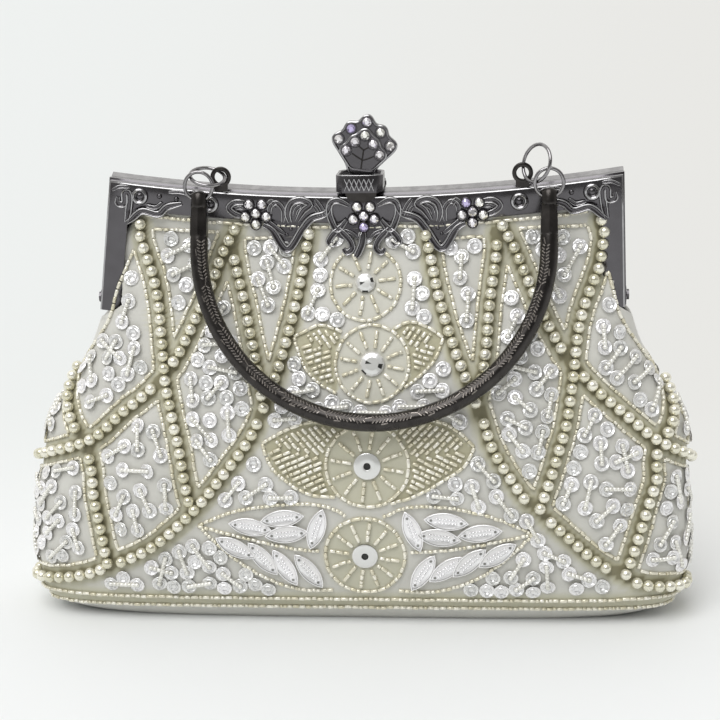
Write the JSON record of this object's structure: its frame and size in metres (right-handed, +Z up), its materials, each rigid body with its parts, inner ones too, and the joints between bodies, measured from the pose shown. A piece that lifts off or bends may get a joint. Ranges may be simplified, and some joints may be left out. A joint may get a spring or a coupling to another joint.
{
  "type": "metal frame purse",
  "caption": "Beaded evening bag of satin on a hinged gunmetal frame with cast ornament, a fan shaped clasp knob set with crystals and a rigid ring-hung handle.",
  "frame": {"origin": "centre of the flat base, on the surface that the purse stands on", "axes": "+Z up, front with the ornament and handle towards -Y, +X to the right seen from the front"},
  "size_m": [0.272, 0.0732, 0.1978],
  "materials": {
    "satin": "woven satin with beads and sequins sewn on, pale silver grey",
    "gunmetal": "cast zinc alloy, gunmetal plated, bright on the edges",
    "ring_wire": "round steel wire, plated dark and polished",
    "crystal": "cut clear crystal, foil backed",
    "sequin_disc": "pressed clear film with a silver shine",
    "pearl": "imitation pearls with an ivory lustre coat"
  },
  "bodies": {
    "bag": {"bag_body": "satin", "front_frame": "gunmetal", "back_frame": "gunmetal", "clasp_pin": "gunmetal", "hinge_rivet_left": "gunmetal", "hinge_rivet_right": "gunmetal", "lower_ring_left": "ring_wire", "lower_ring_right": "ring_wire", "upper_ring_left": "ring_wire", "upper_ring_right": "ring_wire", "flower_centre_stone_1": "crystal", "flower_centre_stone_2": "crystal", "flower_centre_stone_3": "crystal", "flower_centre_stone_4": "crystal", "flower_centre_stone_5": "crystal", "flower_centre_stone_6": "crystal", "flower_left_stone_1": "crystal", "flower_left_stone_2": "crystal", "flower_left_stone_3": "crystal", "flower_left_stone_4": "crystal", "flower_left_stone_5": "crystal", "flower_left_stone_6": "crystal", "flower_right_stone_1": "crystal", "flower_right_stone_2": "crystal", "flower_right_stone_3": "crystal", "flower_right_stone_4": "crystal", "flower_right_stone_5": "crystal", "flower_right_stone_6": "crystal", "wheel_disc_1": "sequin_disc", "wheel_disc_2": "sequin_disc", "wheel_disc_3": "sequin_disc", "wheel_disc_4": "sequin_disc", "pearl_strands_left": "pearl", "pearl_strands_right": "pearl"},
    "handle": {"handle": "gunmetal"},
    "clasp": {"clasp_knob": "gunmetal", "fan_stone_1": "crystal", "fan_stone_2": "crystal", "fan_stone_3": "crystal", "fan_stone_4": "crystal", "fan_stone_5": "crystal", "fan_stone_6": "crystal", "fan_stone_7": "crystal", "fan_stone_8": "crystal", "fan_stone_9": "crystal", "fan_stone_10": "crystal"}
  },
  "joints": [
    {"name": "handle_swing", "type": "hinge", "parent": "bag", "child": "handle", "pos_m": [0.004, -0.0132, 0.168], "axis": [-1, 0, 0], "range_deg": [0, 110]},
    {"name": "clasp_tip", "type": "hinge", "parent": "bag", "child": "clasp", "pos_m": [0, 0.0105, 0.1699], "axis": [-1, 0, 0], "range_deg": [0, 70]}
  ]
}
